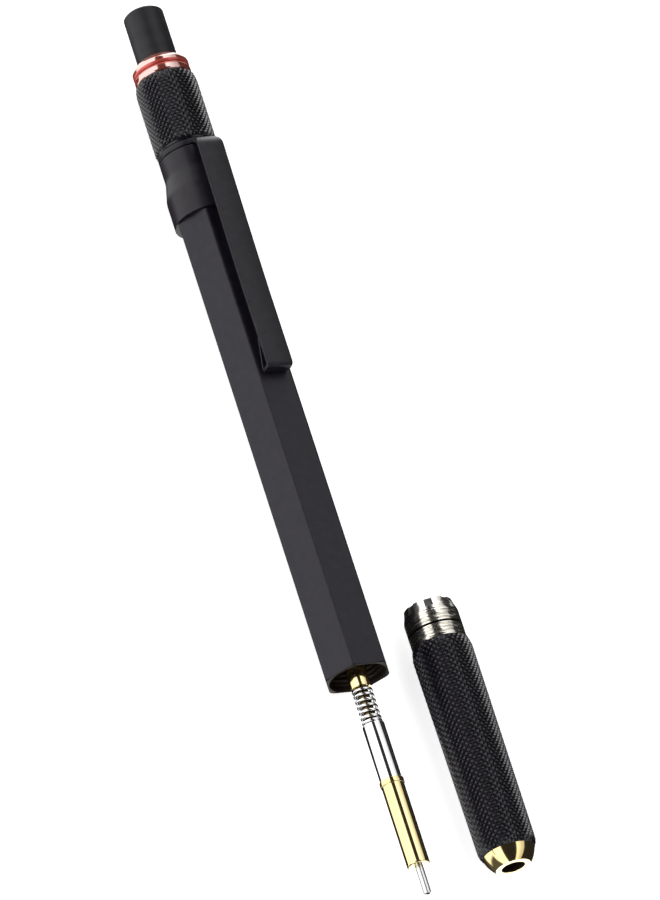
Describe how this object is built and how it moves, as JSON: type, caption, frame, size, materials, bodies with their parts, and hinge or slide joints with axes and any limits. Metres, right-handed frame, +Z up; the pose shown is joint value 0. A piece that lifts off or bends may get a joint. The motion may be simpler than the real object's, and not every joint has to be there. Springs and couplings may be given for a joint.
{
  "type": "twist-retracting mechanical pencil",
  "caption": "Black hexagonal-barrel drafting pencil with pocket clip, knurled twist knob and red ring; the knurled grip is unscrewed and lies beside it, baring the feed mechanism.",
  "frame": {"origin": "centre of the bounding box on the surface that the pieces lie on", "axes": "+Y along the pencil from the point to the button, +Z up, with the clip on top; the loose grip lies on the +X side"},
  "size_m": [0.0234, 0.1386, 0.0121],
  "materials": {
    "barrel_black": "satin black",
    "band_black": "satin black, turned",
    "clip_black": "satin black, sheet",
    "knurl_black": "satin black over a diamond knurl",
    "button_black": "satin black",
    "index_red": "glossy red",
    "steel": "drawn",
    "spring_steel": "drawn wire",
    "chromed_tube": "polished",
    "nickel": "nickel, satin on the threads",
    "brass_bright": "polished",
    "brass_plain": "turned",
    "gold_polish": "polished",
    "black_rubber": "matte",
    "lead_grey": "graphite",
    "eraser_white": "matte white"
  },
  "bodies": {
    "barrel": {"barrel": "barrel_black", "clip_band": "band_black", "clip_ring": "clip_black", "cam_guide": "steel", "snap_ring": "spring_steel", "return_spring": "spring_steel"},
    "knob": {"twist_knob": "knurl_black", "index_ring": "index_red", "cam_sleeve": "brass_plain"},
    "tip": {"housing_tube": "chromed_tube", "front_tube": "brass_bright", "lead_pipe": "steel", "lead_retainer": "black_rubber", "feed_spring": "spring_steel"},
    "feed_rod": {"chuck": "brass_plain", "lead_tube": "brass_bright", "lead": "lead_grey", "spare_lead_a": "lead_grey", "spare_lead_b": "lead_grey", "carriage": "steel", "follower_pin": "spring_steel", "eraser_holder": "steel", "eraser": "eraser_white"},
    "clutch": {"chuck_ring": "brass_plain"},
    "button": {"push_button": "button_black"},
    "clip": {"clip_arm": "clip_black"},
    "grip": {"thread_ring": "nickel", "grip_sleeve": "knurl_black", "nose_cone": "gold_polish"}
  },
  "joints": [
    {"name": "knob_twist", "type": "hinge", "parent": "barrel", "child": "knob", "pos_m": [-0.00675, 0, 0.00496], "axis": [0, 1, 0], "range_deg": [0, 180]},
    {"name": "tip_extend", "type": "slide", "parent": "barrel", "child": "tip", "axis": [0, -1, 0], "range_m": [0, 0.00526], "deforming": ["return_spring"]},
    {"name": "button_press", "type": "slide", "parent": "tip", "child": "feed_rod", "axis": [0, -1, 0], "range_m": [0, 0.0016], "stiffness_N_per_m": 1200, "springref_m": -0.001, "deforming": ["feed_spring"]},
    {"name": "clutch_slide", "type": "slide", "parent": "tip", "child": "clutch", "axis": [0, -1, 0], "range_m": [0, 0.0004]},
    {"name": "button_pull", "type": "slide", "parent": "feed_rod", "child": "button", "axis": [0, 1, 0], "range_m": [0, 0.012]},
    {"name": "clip_flex", "type": "hinge", "parent": "barrel", "child": "clip", "pos_m": [-0.00675, 0.04617, 0.00932], "axis": [-1, 0, 0], "range_deg": [0, 3.5], "stiffness_Nm_per_rad": 1.5, "springref_deg": -1.15},
    {"name": "grip_line_up", "type": "slide", "parent": "barrel", "child": "grip", "axis": [-0.1838, -0.9829, 0.0093], "range_m": [0, 0.07732]}
  ],
  "couplings": [
    {"joint": "knob_twist", "follows": "tip_extend", "rad_per_m": 597.2},
    {"joint": "clutch_slide", "follows": "button_press", "ratio": 0.25}
  ]
}
